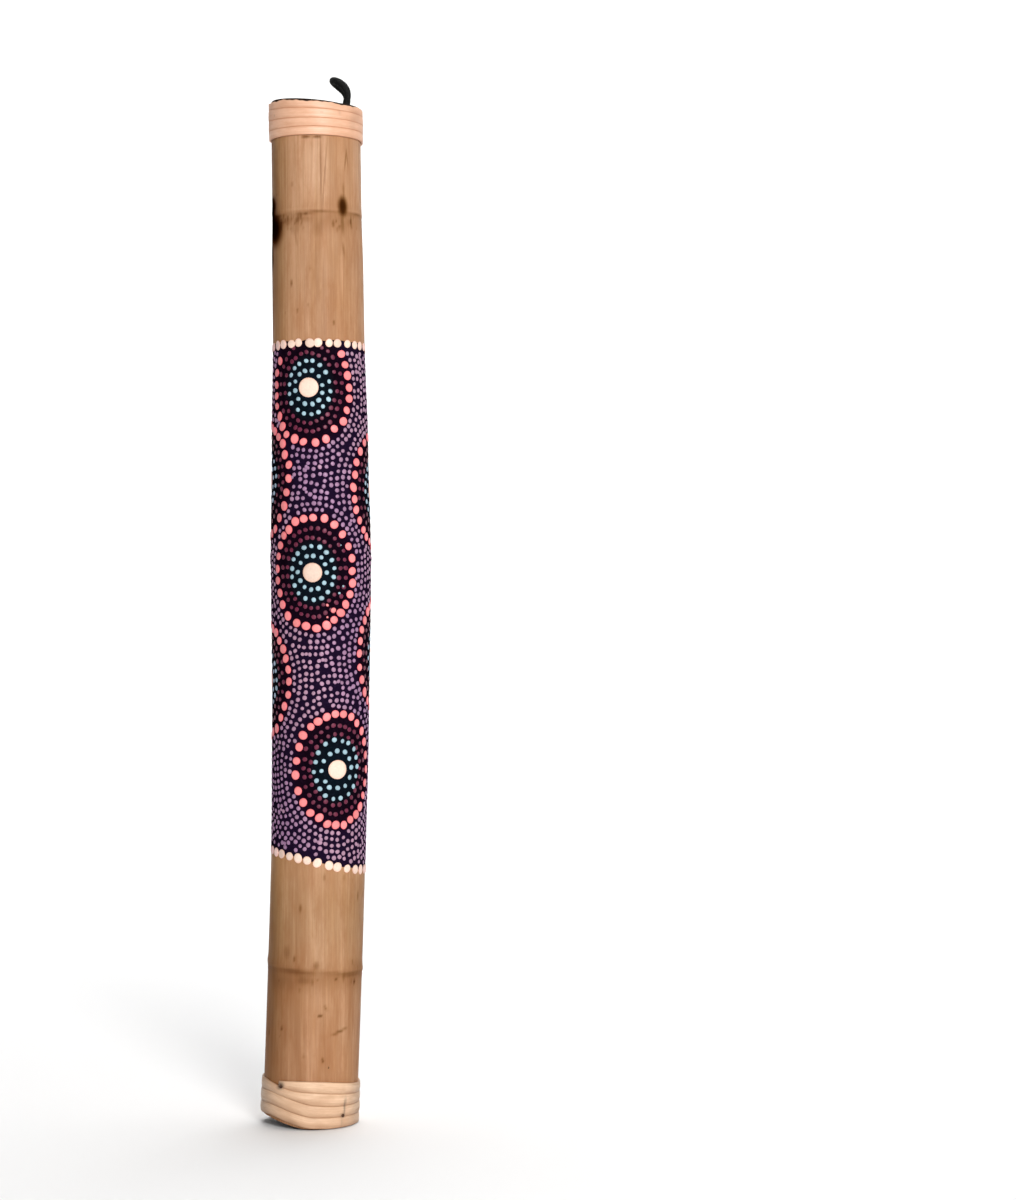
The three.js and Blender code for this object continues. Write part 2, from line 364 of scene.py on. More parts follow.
def dot_material(name, colour, roughness):
    """A paint dot: its colour is varied from dot to dot by the shade layer, and is mottled."""
    s = Shader(name, roughness, Specular_IOR_Level=0.3)
    mottle = s.noise(s.place(900), detail=3)
    colour = linear(*colour)
    darker = tuple(0.78 * c for c in colour)
    base = s.mix(s.span(mottle, 0.0, 0.6), colour, darker)
    colour = s.mix(1.0, base, s.attribute("shade"), "MULTIPLY")
    s.bump(mottle, 0.0001, 0.5)
    return s.finish(colour, s.span(mottle, roughness - 0.06, roughness + 0.12))


def cane_material(name, pale, brown):
    """Split cane: fibres that run along the strip, faint blotches, and painted shade and marks from
    the edge layer.
    """
    s = Shader(name, 0.5)
    pale, brown = linear(*pale), linear(*brown)
    along = s.node("UVMap", {"uv_map": "strip"}).outputs["UV"]

    def streaks(lengthwise, across, detail):
        scaled = s.node("Mapping", Vector=along, Scale=(lengthwise, across, 1))
        return s.noise(scaled.outputs["Vector"], detail=detail)

    fibres, blotches, patches = streaks(18, 2600, 3), streaks(70, 300, 4), streaks(34, 90, 3)
    darker = tuple(0.25 * a + 0.75 * b for a, b in zip(pale, brown))
    base = s.mix(s.span(fibres, 0.0, 0.5), pale, brown)
    base = s.mix(s.span(blotches, -0.35, 0.75), base, darker)
    base = s.mix(s.span(patches, -0.3, 0.7), base, darker)
    colour = s.mix(1.0, base, s.attribute("edge"), "MULTIPLY")
    s.bump(fibres, 0.00012, 0.6)
    return s.finish(colour, s.span(blotches, 0.42, 0.6))


def grained_material(name, pale, dark, roughness, *scale, metallic=0.0):
    """A plain two-tone material with grain at the given scale."""
    s = Shader(name, roughness, Metallic=metallic, Specular_IOR_Level=0.25)
    grain = s.noise(s.place(*scale), detail=4)
    s.bump(grain, 0.00015, 0.6)
    colour = s.mix(s.span(grain, 0.0, 1.0), linear(*pale), linear(*dark))
    return s.finish(colour, s.span(grain, roughness - 0.1, roughness + 0.1))


materials = {
    "bamboo": bamboo_material(),
    "ends": cut_end_material(),
    "ground": ground_material(),
    "cream": dot_material("paint_cream", (246, 218, 200), 0.42),
    "blue": dot_material("paint_blue", (164, 194, 206), 0.4),
    "maroon": dot_material("paint_maroon", (110, 34, 62), 0.4),
    "pink": dot_material("paint_pink", (252, 148, 148), 0.4),
    "mauve": dot_material("paint_mauve", (180, 141, 162), 0.4),
    "upper_cane": cane_material("upper_cane", (234, 189, 160), (200, 142, 106)),
    "lower_cane": cane_material("lower_cane", (244, 209, 176), (184, 138, 103)),
    "plug": grained_material("plug_paint", (58, 48, 43), (24, 20, 19), 0.6, 300, 900, 300),
    "cord": grained_material("black_cord", (14, 14, 14), (4, 4, 5), 0.75, 1800),
    "nail": grained_material("nail_iron", (104, 72, 54), (54, 38, 30), 0.7, 900, metallic=0.15),
    "peg": grained_material("peg_wood", (128, 92, 60), (62, 42, 28), 0.7, 400),
    "grain": grained_material("grain_stone", (156, 122, 88), (92, 68, 48), 0.55, 700),
}


def dress(piece, slot, *names):
    """Gives a piece its materials; slot is not used."""
    for name in names:
        piece.data.materials.append(materials[name])
    return piece


# ---- bamboo

AROUND = 288  # points round the bamboo and the painted ground
ANGLES = spaced(AROUND)

# Where the paint starts and ends, on the line of its edge dots.
PAINT_FOOT, PAINT_SLANT = 155.6 * MM, -6.1 * MM
PAINT_TOP, PAINT_DROOP = 459.2 * MM, -1.3 * MM


def paint_foot(azimuth):
    """Height of the paint's lower edge, which is tilted."""
    return PAINT_FOOT + PAINT_SLANT * np.sin(azimuth)


def paint_top(azimuth):
    """Height of the paint's upper edge, which droops at the back."""
    return PAINT_TOP + PAINT_DROOP * (1 - np.cos(azimuth))


# Marks on the bare bamboo: azimuth in degrees, height, half width, half height (mm), tilt in
# degrees to the right of upright, and darkness, which is below zero for a pale mark.
MARKS = [
    (34.5, 539.5, 3.8, 6.6, 0, 0.8),  # a bud scar, eye-shaped with a darker middle
    (34.5, 539.5, 2.2, 4.6, 0, 0.75),
    (34, 528.5, 1.4, 5.5, 0, 0.45),
    (36, 549, 0.8, 4.5, 0, 0.4),
    (-79, 541, 7.0, 6.6, 10, 0.97),  # a scorched scar on the left
    (-70, 527, 10.2, 10.8, -8, 0.99),
    (-83, 533, 6.0, 12.0, 0, 0.95),
    (-84, 511, 5.0, 9, 0, 0.85),
    (-80, 490, 2.4, 26, 0, 0.3),
    (40, 567, 0.5, 6.5, 7, 0.5),  # a streak like a V
    (43, 568, 0.5, 5.5, -7, 0.4),
    (33, 569, 2.5, 9, 0, -0.12),
    (31, 500, 0.9, 14, 0, -0.3),  # a pale streak
    (34, 514, 0.7, 4, -6, 0.35),
    (-45, 562, 0.9, 22, 0, 0.22),
    (1, 526, 3.0, 5.0, 20, 0.2),
    (19, 471, 0.8, 1.2, 0, 0.55),
    (-27, 478, 0.8, 1.0, 0, 0.5),
    (-13, 579.9, 3.6, 0.7, 0, 0.85),  # a painted shadow just under the cane
    (1, 579.9, 3.6, 0.7, 0, 0.85),
    (58, 135, 0.9, 3.0, 0, 0.4),
    (26, 87.5, 0.9, 0.9, 0, 0.55),
    (56, 84.6, 1.0, 1.6, 0, 0.7),
    (7.5, 66.6, 1.5, 1.0, 0, 0.7),
    (14, 70.8, 2.0, 0.8, 60, 0.4),
    (-41.5, 58.4, 1.0, 1.2, 0, 0.55),
    (12.8, 40.3, 0.8, 1.5, -20, 0.6),
    (34, 56.6, 0.9, 5.5, 72, 0.6),  # a scratch
    (-14, 87, 4.0, 2.4, 0, 0.3),  # stains round the joints
    (-38, 103, 2.6, 4.0, 0, 0.3),
    (-30, 526, 3.2, 3.4, 0, 0.24),
    (-38, 531, 6.0, 2.4, 0, 0.22),
    (-16, 531.5, 4.0, 1.6, 0, 0.2),
    (-28, 520, 4.5, 0.8, 80, 0.25),
    (1, 95.8, 1.7, 2.4, 0, 0.4),
    (-40, 84, 9.0, 5.0, 0, 0.14),
    (62, 94, 6.0, 4.0, 0, 0.22),
    # The last four entries are painted shade: the tube darker on its left and right sides.
    (-74, 60, 24, 80, 0, 0.36),  # painted shade on the sides, where light falls off
    (-86, 540, 17, 90, 0, 0.46),
    (84, 76, 18, 80, 0, 0.34),
    (86, 530, 12, 90, 0, 0.12),
]

# Shallow cracks, which are real grooves, in the same terms as the marks.
CRACKS = [
    (5.4, 561, 0.42, 23, 0, 0.46),
    (10, 557, 0.42, 24, 4.7, 0.38),
]
CRACK_DEPTH = 0.12 * MM

# Small marks scattered over part of the skin: how many, the azimuths and the heights.
SCATTERS = [
    (40, (65, 295), (35, 575)),
    (34, (-62, -12), (526, 535)),
    (12, (15, 60), (525, 535)),
    (6, (-50, 60), (80, 91)),
    (9, (-70, 70), (36, 150)),
    (7, (-70, 70), (465, 575)),
]


def azimuth_from(azimuth, place):
    """The turn from a place in degrees to an azimuth, the short way round."""
    return (azimuth - math.radians(place) + math.pi) % TAU - math.pi


def mark(azimuth, z, place, height, half_width, half_height, tilt=0, crisp=1.6):
    """How strongly a mark covers each point, with a soft or a crisper edge."""
    across = azimuth_from(azimuth, place) * girth(height * MM) / MM
    upward = z / MM - height
    lean = math.radians(tilt)
    aside = (across * math.cos(lean) - upward * math.sin(lean)) / half_width
    along = (across * math.sin(lean) + upward * math.cos(lean)) / half_height
    return np.exp(-((aside**2 + along**2) ** crisp))


def tone(azimuth, z):
    """The bamboo's marks, stains and joint lines, with painted shade and painted highlights, as a
    colour to multiply by.
    """
    shade = np.ones(azimuth.shape)
    for *outline, darkness in MARKS + CRACKS:
        crisp = 3 if darkness > 0.65 else 1.6
        shade *= 1 - darkness * mark(azimuth, z, *outline, crisp=crisp)
    for count, azimuths, heights in SCATTERS:
        for _ in range(count):
            size, tall = rng.uniform(0.45, 1.0), rng.uniform(1, 3)
            outline = (rng.uniform(*azimuths), rng.uniform(*heights), size, size * tall)
            shade *= 1 - rng.uniform(0.12, 0.5) * mark(azimuth, z, *outline)
    for joint in JOINTS:
        above = z - joint_line(joint, azimuth)
        patchy = 0.65 + 0.35 * np.sin(5 * azimuth + 40 * joint["height"])
        shade *= 1 - joint["stain"] * patchy * bell(above + 0.6 * MM, joint["line"])
        # Painted highlight along each joint's ridge, and painted shade in a band under it.
        shade *= 1 + 0.12 * bell(above - 1.3 * MM, 0.9 * MM)
        shade *= 1 - 0.2 * bell(above + 4 * MM, 7 * MM)
    # Painted shade: darker in the front middle, on the left and right sides and over the upper
    # middle.
    sides = [(0, 18), (-8, 24), (-68, 24), (58, 26)]
    middle, front, left, right = (
        bell(azimuth_from(azimuth, place), math.radians(width)) for place, width in sides
    )
    lower = np.clip((150 * MM - z) / (90 * MM), 0, 1)
    upper = np.clip((538 * MM - z) / (30 * MM), 0, 1) * (z > 400 * MM)
    below_paint = bell(z - 130 * MM, 30 * MM)
    # Darker towards the foot; the next three lines are painted shade.
    shade *= 1 - 0.09 * lower
    shade *= 1 - 0.045 * front
    shade *= 1 - 0.17 * left - 0.24 * right * below_paint
    shade *= 1 - upper * (0.04 + 0.17 * middle + 0.13 * right)
    golden = 0.5 + 0.5 * np.sin(azimuth + 0.35 + 0.5 * np.sin(z / (70 * MM)))
    greener = bell(z - 125 * MM, 34 * MM)
    paler = np.clip((z - 450 * MM) / (60 * MM), 0, 1)
    red = shade**0.8 * (1 - 0.07 * greener)
    green = shade * (1 + 0.05 * paler)
    # Painted shade: the left side also loses some blue.
    blue = shade ** (1.1 + 0.25 * golden) * (1 - 0.06 * golden) * (1 - 0.26 * left)
    return np.stack([red, green, blue * (1 + 0.1 * paler)], axis=-1)


def bamboo_rows():
    """Heights of the tube's rows: close on bare bamboo, and wide under paint and cane."""
    fine, coarse = 1.4 * MM, 5 * MM
    ends = [0, 0.4 * MM, 5 * MM, 12 * MM, 20 * MM]
    rims = [590 * MM, HEIGHT - 1.6 * MM, HEIGHT - 0.4 * MM, HEIGHT]
    stretches = [(30, 165, fine), (165, 320, coarse), (320, 344, fine), (345, 452, coarse)]
    stretches.append((452, 585, fine))
    middle = [np.arange(low * MM, high * MM, step) for low, high, step in stretches]
    return np.concatenate([ends, *middle, rims])


def bore_radius(z):
    """Radius of the bore, with what is left of the walls at the joints."""
    radius = girth(z) - WALL
    for joint in JOINTS:
        radius = radius - joint["ledge"] * bell(z - joint["height"], 3 * MM)
    return radius


def bamboo_tube():
    """The tube: a close outer skin, bevelled ends and a bore with what is left of its joints."""
    rows = bamboo_rows()
    azimuth, z = np.broadcast_arrays(ANGLES[None, :], rows[:, None])
    z = off_top(azimuth, off_foot(azimuth, z, girth(0)), girth(HEIGHT))
    rim = (rows == 0) | (rows == rows[-1])
    uneven = 0.06 * MM * np.sin(9 * azimuth + 30 * z) - 0.4 * MM * rim[:, None]
    for *outline, _ in CRACKS:
        uneven = uneven - CRACK_DEPTH * mark(azimuth, z, *outline)
    outer = skin(azimuth, z, uneven)
    levels = np.concatenate([[0], np.linspace(1 * MM, HEIGHT - 1 * MM, 48), [HEIGHT]])[::-1]
    levels = levels[:, None] + 0 * ANGLES
    levels = off_top(ANGLES, off_foot(ANGLES, levels, bore_radius(0)), bore_radius(HEIGHT))
    bore = bore_radius(levels)
    x = centre(levels) + bore * np.sin(ANGLES)
    inner = np.stack([x, -bore * np.cos(ANGLES), levels], axis=-1)
    points = np.concatenate([outer, inner])
    piece = mesh_piece("bamboo", points, grid_faces(len(points), AROUND, wrap_rows=True))
    shades = np.full(points.shape, 0.8)
    shades[: len(rows)] = tone(azimuth, z)
    colour_layer(piece, "tone", shades.reshape(-1, 3))
    dress(piece, "bamboo", "bamboo", "ends")
    top = len(rows) - 1
    painted = {0, top - 2, top - 1, top, top + 1, top + 2, len(points) - 1}
    for polygon in piece.data.polygons:
        if polygon.index // AROUND in painted:
            polygon.material_index = 1
    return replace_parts(piece, "bamboo_tube")


bamboo_tube()


# ---- paint

GROUND_LIFT = 0.12 * MM
DOT_SINK = 0.05 * MM  # how far a dot's rim lies under the ground

# Medallions: azimuth in degrees and height of the centre, and the spread of the blue rings.
MEDALLIONS = [
    (-13.5, 433 * MM, 1.03),
    (-10, 325 * MM, 1.05),
    (21, 210 * MM, 1.14),
    (-91, 380 * MM, 1.05),
    (-91, 262 * MM, 1.05),
    (92, 374 * MM, 1.05),
    (100, 277 * MM, 1.05),
    (180, 425 * MM, 1.05),
    (180, 321 * MM, 1.05),
    (170, 215 * MM, 1.1),
]
PINK_ARC, PINK_HEIGHT = 25.0 * MM, 32.5 * MM  # half sizes of a medallion's pink ring

# Rings of a medallion: paint, dots, half arc, half height and dot width.
RINGS = [
    ("blue", 12, 8.2 * MM, 9.8 * MM, 2.9 * MM),
    ("blue", 18, 12.3 * MM, 15.2 * MM, 2.9 * MM),
    ("maroon", 26, 16.5 * MM, 20.6 * MM, 2.8 * MM),
    ("maroon", 32, 20.4 * MM, 25.7 * MM, 2.8 * MM),
    ("pink", 27, PINK_ARC, PINK_HEIGHT, 5.1 * MM),
]
HEART = 11.6 * MM  # width of the cream dot in the middle
EDGE_DOTS = 29
EDGE_DOT = 5.1 * MM
MAUVE_DOT = 2.68 * MM
MAUVE_PITCH = 3.65 * MM
MAUVE_START = 4.3 * MM  # from the pink ring out to the first row of mauve dots
MAUVE_ROWS = 11
MAUVE_TRIES = 30000

# Small specks and smears that missed their places: paint, azimuth, height and width.
STRAYS = [
    ("blue", 26, 317 * MM, 1.5 * MM),
    ("blue", 21, 313 * MM, 1.7 * MM),
    ("blue", 23, 341 * MM, 1.0 * MM),
    ("blue", 18, 308 * MM, 1.1 * MM),
    ("pink", 14, 303 * MM, 3.0 * MM),
    ("pink", 7, 306 * MM, 1.7 * MM),
    ("pink", 7, 299 * MM, 1.4 * MM),
]

# Paints: how high their dots stand above the ground (mm), and what their colour is multiplied
# by at a dot's thin rim, where the ground shows through.
PAINTS = {
    "cream": (0.32, (1.0, 0.8, 0.74)),
    "pink": (0.32, (0.95, 0.42, 0.55)),
    "blue": (0.24, (0.6, 0.75, 0.8)),
    "maroon": (0.16, (0.6, 0.6, 0.7)),
    "mauve": (0.2, (0.7, 0.58, 0.8)),
}
dots = {paint: [] for paint in PAINTS}  # paint: [(azimuth, height, width, stretch, turn)]


def arc_from(azimuth, z, place, height):
    """Distances along the arc and upward from a place on the tube."""
    return azimuth_from(azimuth, place) * girth(height), z - height


def painted_side_shade(azimuth):
    """Painted shade on the two sides of the stick, as how much darker the paint is there; 0 on its
    front and back.
    """
    left, right = bell(azimuth_from(azimuth, -84), 0.5), bell(azimuth_from(azimuth, 86), 0.45)
    return np.maximum(left, 0.7 * right)


def ring_size(azimuth, z):
    """1 on the nearest medallion's pink ring, less inside and more outside."""
    sizes = []
    for place, height, _ in MEDALLIONS:
        across, upward = arc_from(azimuth, z, place, height)
        sizes.append(np.hypot(across / PINK_ARC, upward / PINK_HEIGHT))
    return np.min(sizes, axis=0)


def lay_dot(paint, azimuth, z, width, spread=0.1):
    """Notes one dot, a little uneven in size, outline and turn."""
    size = width * rng.uniform(1 - spread, 1 + spread)
    stretch = rng.uniform(1, 1.03 if width == HEART else 1.09)
    dots[paint].append((azimuth, z, size, stretch, rng.uniform(0, math.pi)))


def inside_band(azimuth, z, margin):
    """Whether a place is this far inside both edges of the paint."""
    return paint_foot(azimuth) + margin < z < paint_top(azimuth) - margin


def ellipse_angles(count, half_arc, half_height):
    """Angles that space dots evenly along an ellipse."""
    fine = np.linspace(0, TAU, 721)
    step = np.hypot(half_arc * np.cos(fine), half_height * np.sin(fine))
    walked = np.concatenate([[0], np.cumsum((step[1:] + step[:-1]) / 2)])
    return np.interp(np.arange(count) / count * walked[-1], walked, fine)


def lay_medallion(place, height, spread):
    """One medallion: a cream heart in rings of blue, maroon and pink dots."""
    lay_dot("cream", math.radians(place), height, HEART, 0.03)
    for paint, count, half_arc, half_height, width in RINGS:
        if paint == "blue":
            half_arc, half_height = half_arc * spread, half_height * spread
        phase = rng.uniform(0, TAU)
        for angle in ellipse_angles(count, half_arc, half_height) + phase:
            wobble = rng.normal(1, 0.014)
            across = half_arc * wobble * math.sin(angle) + rng.normal(0, 0.22 * MM)
            upward = half_height * wobble * math.cos(angle) + rng.normal(0, 0.22 * MM)
            azimuth = math.radians(place) + across / girth(height)
            if inside_band(azimuth, height + upward, 0.5 * width + 1.2 * MM):
                lay_dot(paint, azimuth, height + upward, width, 0.12)


def lay_edges():
    """The rows of cream dots along both edges of the paint."""
    for line in (paint_foot, paint_top):
        for i in range(EDGE_DOTS):
            azimuth = (i + rng.uniform(-0.12, 0.12)) * TAU / EDGE_DOTS
            lay_dot("cream", azimuth, line(azimuth) + rng.normal(0, 0.15 * MM), EDGE_DOT, 0.1)


def mauve_rows():
    """Places along outlines that grow outwards round every medallion."""
    for row in range(MAUVE_ROWS):
        for place, height, _ in MEDALLIONS:
            grown = MAUVE_START + row * MAUVE_PITCH
            half_arc, half_height = PINK_ARC + grown, PINK_HEIGHT + grown
            outline = TAU * math.sqrt((half_arc**2 + half_height**2) / 2)
            first = rng.uniform(0, 0.2)
            for angle in ellipse_angles(round(outline / MAUVE_PITCH), half_arc, half_height):
                across = half_arc * math.sin(angle + first) + rng.normal(0, 0.25 * MM)
                upward = half_height * math.cos(angle + first) + rng.normal(0, 0.25 * MM)
                yield math.radians(place) + across / girth(height), height + upward


def lay_mauve():
    """Mauve dots over the rest: rows that follow the medallions, and more in the gaps."""
    radius = GIRTH[:, 1].mean()
    kept = np.array([(a, z, width) for paint in dots for a, z, width, _, _ in dots[paint]])
    rows = [(a, z, 0.83 * MAUVE_PITCH) for a, z in mauve_rows()]
    lowest, highest = PAINT_FOOT + PAINT_SLANT, PAINT_TOP
    close = 0.86 * MAUVE_PITCH
    gaps = rng.uniform((0, lowest, close), (TAU, highest, close), (MAUVE_TRIES, 3))
    tries = np.array([t for t in [*rows, *gaps] if inside_band(t[0], t[1], 3.7 * MM)])
    tries = tries[ring_size(tries[:, 0], tries[:, 1]) > 1.1]
    for azimuth, z, pitch in tries:
        turn = (kept[:, 0] - azimuth + math.pi) % TAU - math.pi
        apart = np.hypot(turn * radius, kept[:, 1] - z)
        other = kept[:, 2] > MAUVE_DOT
        if np.all(apart > np.where(other, (kept[:, 2] + MAUVE_DOT) / 2 + 0.3 * MM, pitch)):
            kept = np.vstack([kept, (azimuth, z, MAUVE_DOT)])
            lay_dot("mauve", azimuth, z, MAUVE_DOT, 0.13)
            if rng.random() < 0.05:
                aside = rng.uniform(0, TAU)
                step = 0.8 * MAUVE_DOT
                beside = azimuth + step * math.sin(aside) / radius
                lay_dot("mauve", beside, z + step * math.cos(aside), 0.85 * MAUVE_DOT, 0.13)


def dome(segments, levels):
    """A unit dot seen from above: its rim, its shoulders and its crown as (u, v, height)."""
    angles = spaced(segments)
    points = [
        (size * math.cos(a), size * math.sin(a), height) for size, height in levels for a in angles
    ]
    faces = grid_faces(len(levels), segments)
    top = (len(levels) - 1) * segments
    crown = len(points)
    points.append((0, 0, 1))
    faces += [(top + c, top + (c + 1) % segments, crown) for c in range(segments)]
    faces.append(tuple(reversed(range(segments))))
    return np.array(points), faces


def dot_piece(paint, segments, levels):
    """All the dots of one paint as one raised mesh on the tube's skin."""
    unit, unit_faces = dome(segments, levels)
    thin = np.clip(np.hypot(unit[:, 0], unit[:, 1]) * 4 - 3, 0, 1)[:, None]
    height, rim = PAINTS[paint]
    points, faces, shades = [], [], []
    for i, (azimuth, z, width, stretch, turn) in enumerate(dots[paint]):
        across = unit[:, 0] * width / 2 * stretch
        upward = unit[:, 1] * width / 2 / stretch
        u = across * math.cos(turn) - upward * math.sin(turn)
        v = across * math.sin(turn) + upward * math.cos(turn)
        rise = height * MM * min(1.0, width / (2 * MM)) * rng.uniform(0.85, 1.15)
        lift = GROUND_LIFT + np.where(unit[:, 2] > 0, unit[:, 2] * rise, -DOT_SINK)
        points.append(skin(azimuth + u / girth(z), z + v, lift))
        faces += [tuple(i * len(unit) + c for c in face) for face in unit_faces]
        drift = 0.5 + 0.5 * math.sin(2.3 * azimuth + 21 * z) if paint == "mauve" else 0
        tint = rng.uniform(0.84, 1.06) * (1 - drift * np.array([0.2, 0.24, 0.06]))
        # Painted shade: dots darker on the sides of the stick.
        tint = tint * (1 - painted_side_shade(azimuth) * np.array([0.16, 0.3, 0.16]))
        shades.append(tint * (1 - thin * (1 - np.array(rim))))
    piece = mesh_piece(f"paint_{paint}_dots", np.concatenate(points), faces)
    colour_layer(piece, "shade", np.concatenate(shades))
    return dress(piece, "paint", paint)


def ground_tint(azimuth, z):
    """The ground's colour: violet black between the medallions, plum and teal black in them, with
    painted shade on the sides.
    """
    size = ring_size(azimuth, z)
    stops = [0.0, 0.5, 0.66, 0.95, 1.06, 1.2]
    tints = [(7, 20, 28), (7, 16, 22), (13, 5, 13), (18, 6, 18), (21, 8, 26), (24, 13, 35)]
    table = np.array([linear(*tint) for tint in tints])
    tint = np.stack([np.interp(size, stops, table[:, k]) for k in range(3)], axis=-1)
    return tint * (1 - 0.6 * painted_side_shade(azimuth)[..., None])


def paint_ground():
    """The dark ground: a thin sleeve of paint between its two uneven edges."""
    share = np.linspace(0, 1, 260)[:, None]
    ragged = 0.25 * MM * np.sin(11 * ANGLES) + 0.2 * MM * np.sin(23 * ANGLES + 2)
    foot = paint_foot(ANGLES) + 0.3 * MM + ragged
    top = paint_top(ANGLES) + 1.4 * MM + ragged[::-1]
    z = foot + (top - foot) * share
    angles = np.broadcast_to(ANGLES, z.shape)
    outside = skin(angles, z, GROUND_LIFT)
    inside = skin(angles, z, -0.05 * MM)[::-1]
    points = np.concatenate([outside, inside])
    piece = mesh_piece("paint_ground", points, grid_faces(len(points), AROUND, wrap_rows=True))
    tint = ground_tint(angles, z)
    colour_layer(piece, "ground", np.concatenate([tint, tint[::-1]]).reshape(-1, 3))
    return dress(piece, "paint", "ground")


paint_ground()
for medallion in MEDALLIONS:
    lay_medallion(*medallion)
lay_edges()
for stray, place, *sizes in STRAYS:
    lay_dot(stray, math.radians(place), *sizes)
lay_mauve()

SMALL_DOT = [(1.0, 0.0), (0.86, 0.62), (0.5, 0.93)]
LARGE_DOT = [(1.0, 0.0), (0.95, 0.42), (0.82, 0.75), (0.55, 0.94)]
dot_piece("mauve", 10, SMALL_DOT)
dot_piece("maroon", 10, SMALL_DOT)
dot_piece("blue", 12, SMALL_DOT)
dot_piece("pink", 18, LARGE_DOT)
dot_piece("cream", 22, LARGE_DOT)


# ---- cane strips

CANE = 1.5 * MM  # how far a strip stands out
STEPS_PER_TURN = 180
ACROSS = 13  # points across a strip's rounded face
UPPER_STRIP = {
    "phase": 60,  # azimuth at which it completes each turn
    "begin": 0,  # turns at its first end
    "end": 4 + 1 / 6,
    "top": 604.15 * MM,  # height of its upper edge in the first turn
    "pitch": 4.93 * MM,
    "crossing": 1,  # share of a turn over which it drops one pitch
    "early": 0,  # how much sooner, in turns, it drops the first time
    "tilt": 0.85 * MM,  # how much further up it lies on the right, and down on the left
    "sag": 0,  # how much further up it lies on both sides
    "lift": 0,  # how much further up its later turns lie on the right
    "gap": 0.05 * MM,
    "wave": 0.14 * MM,
    "fall": 0.08,  # share of the thickness lost at the edges
    "roundness": 5,  # how late across the face that happens
    # painted shade at the strip's rounded edges, and at 0.8 of it on its sides in the grooves
    # between turns
    "edge": (0.9, 0.78, 0.68),
    "shadow": 0.12,  # painted shadow: how much darker its lower part is
    "flanks": 0,  # painted shade: how much darker it is on the left, and almost as much on the right
}
LOWER_STRIP = {
    "phase": 6,
    "begin": -0.13,
    "end": 3.62,
    "top": 28.1 * MM,
    "pitch": 6.85 * MM,
    "crossing": 0.195,
    "early": 0.038,
    "tilt": -1.9 * MM,
    "sag": -2.3 * MM,
    "lift": 2.3 * MM,
    "gap": 0.05 * MM,
    "wave": 0.3 * MM,
    "fall": 0.24,
    "roundness": 2.2,
    "edge": (0.93, 0.86, 0.8),
    "shadow": 0.33,
    "flanks": 0.42,
}
# Marks on the cane, in the same terms as the marks on the bamboo.
CANE_MARKS = [
    (43.5, 12.5, 0.8, 5.0, 6, 0.6),
    (40, 3.0, 0.5, 3.0, 0, 0.3),
    (41, 7.2, 1.6, 1.4, 0, 0.4),
    (-38, 25.3, 2.1, 2.6, 52, 0.8),
    (-20, 3, 5.0, 3.0, 40, 0.12),
    (57, 593, 5.0, 3.6, 0, 0.13),
    (50, 588, 3.0, 4.0, 0, 0.1),
    (-60, 593.5, 0.7, 0.6, 0, 0.3),
    (7, 593.5, 0.7, 0.8, 0, 0.22),
    (30, 594, 1.5, 0.9, 80, 0.14),
    (52, 598.5, 1.0, 1.0, 0, 0.2),
]


def drop(turns, crossing, early):
    """Pitches dropped by a strip after some turns, all near the end of each turn."""
    whole = np.floor(turns)
    t = np.clip((turns - whole - 1 + crossing + early * (whole == 0)) / crossing, 0, 1)
    return whole + (t if crossing == 1 else t * t * (3 - 2 * t))


def strip_edge(strip, turns):
    """Height of a strip's lower edge one turn back, so of its upper edge after some turns."""
    azimuth = math.radians(strip["phase"]) + TAU * turns
    swing = strip["tilt"] * np.sin(azimuth) + strip["sag"] * np.sin(azimuth) ** 2
    swing += strip["lift"] * np.clip(turns - 0.5, 0, 1) * np.maximum(0, np.sin(azimuth)) ** 2
    wave = strip["wave"] * (np.sin(TAU * 1.31 * turns) + 0.6 * np.sin(TAU * 3.17 * turns + 1))
    dropped = np.maximum(0, drop(turns, strip["crossing"], strip["early"]))
    return strip["top"] + swing + wave - strip["pitch"] * dropped


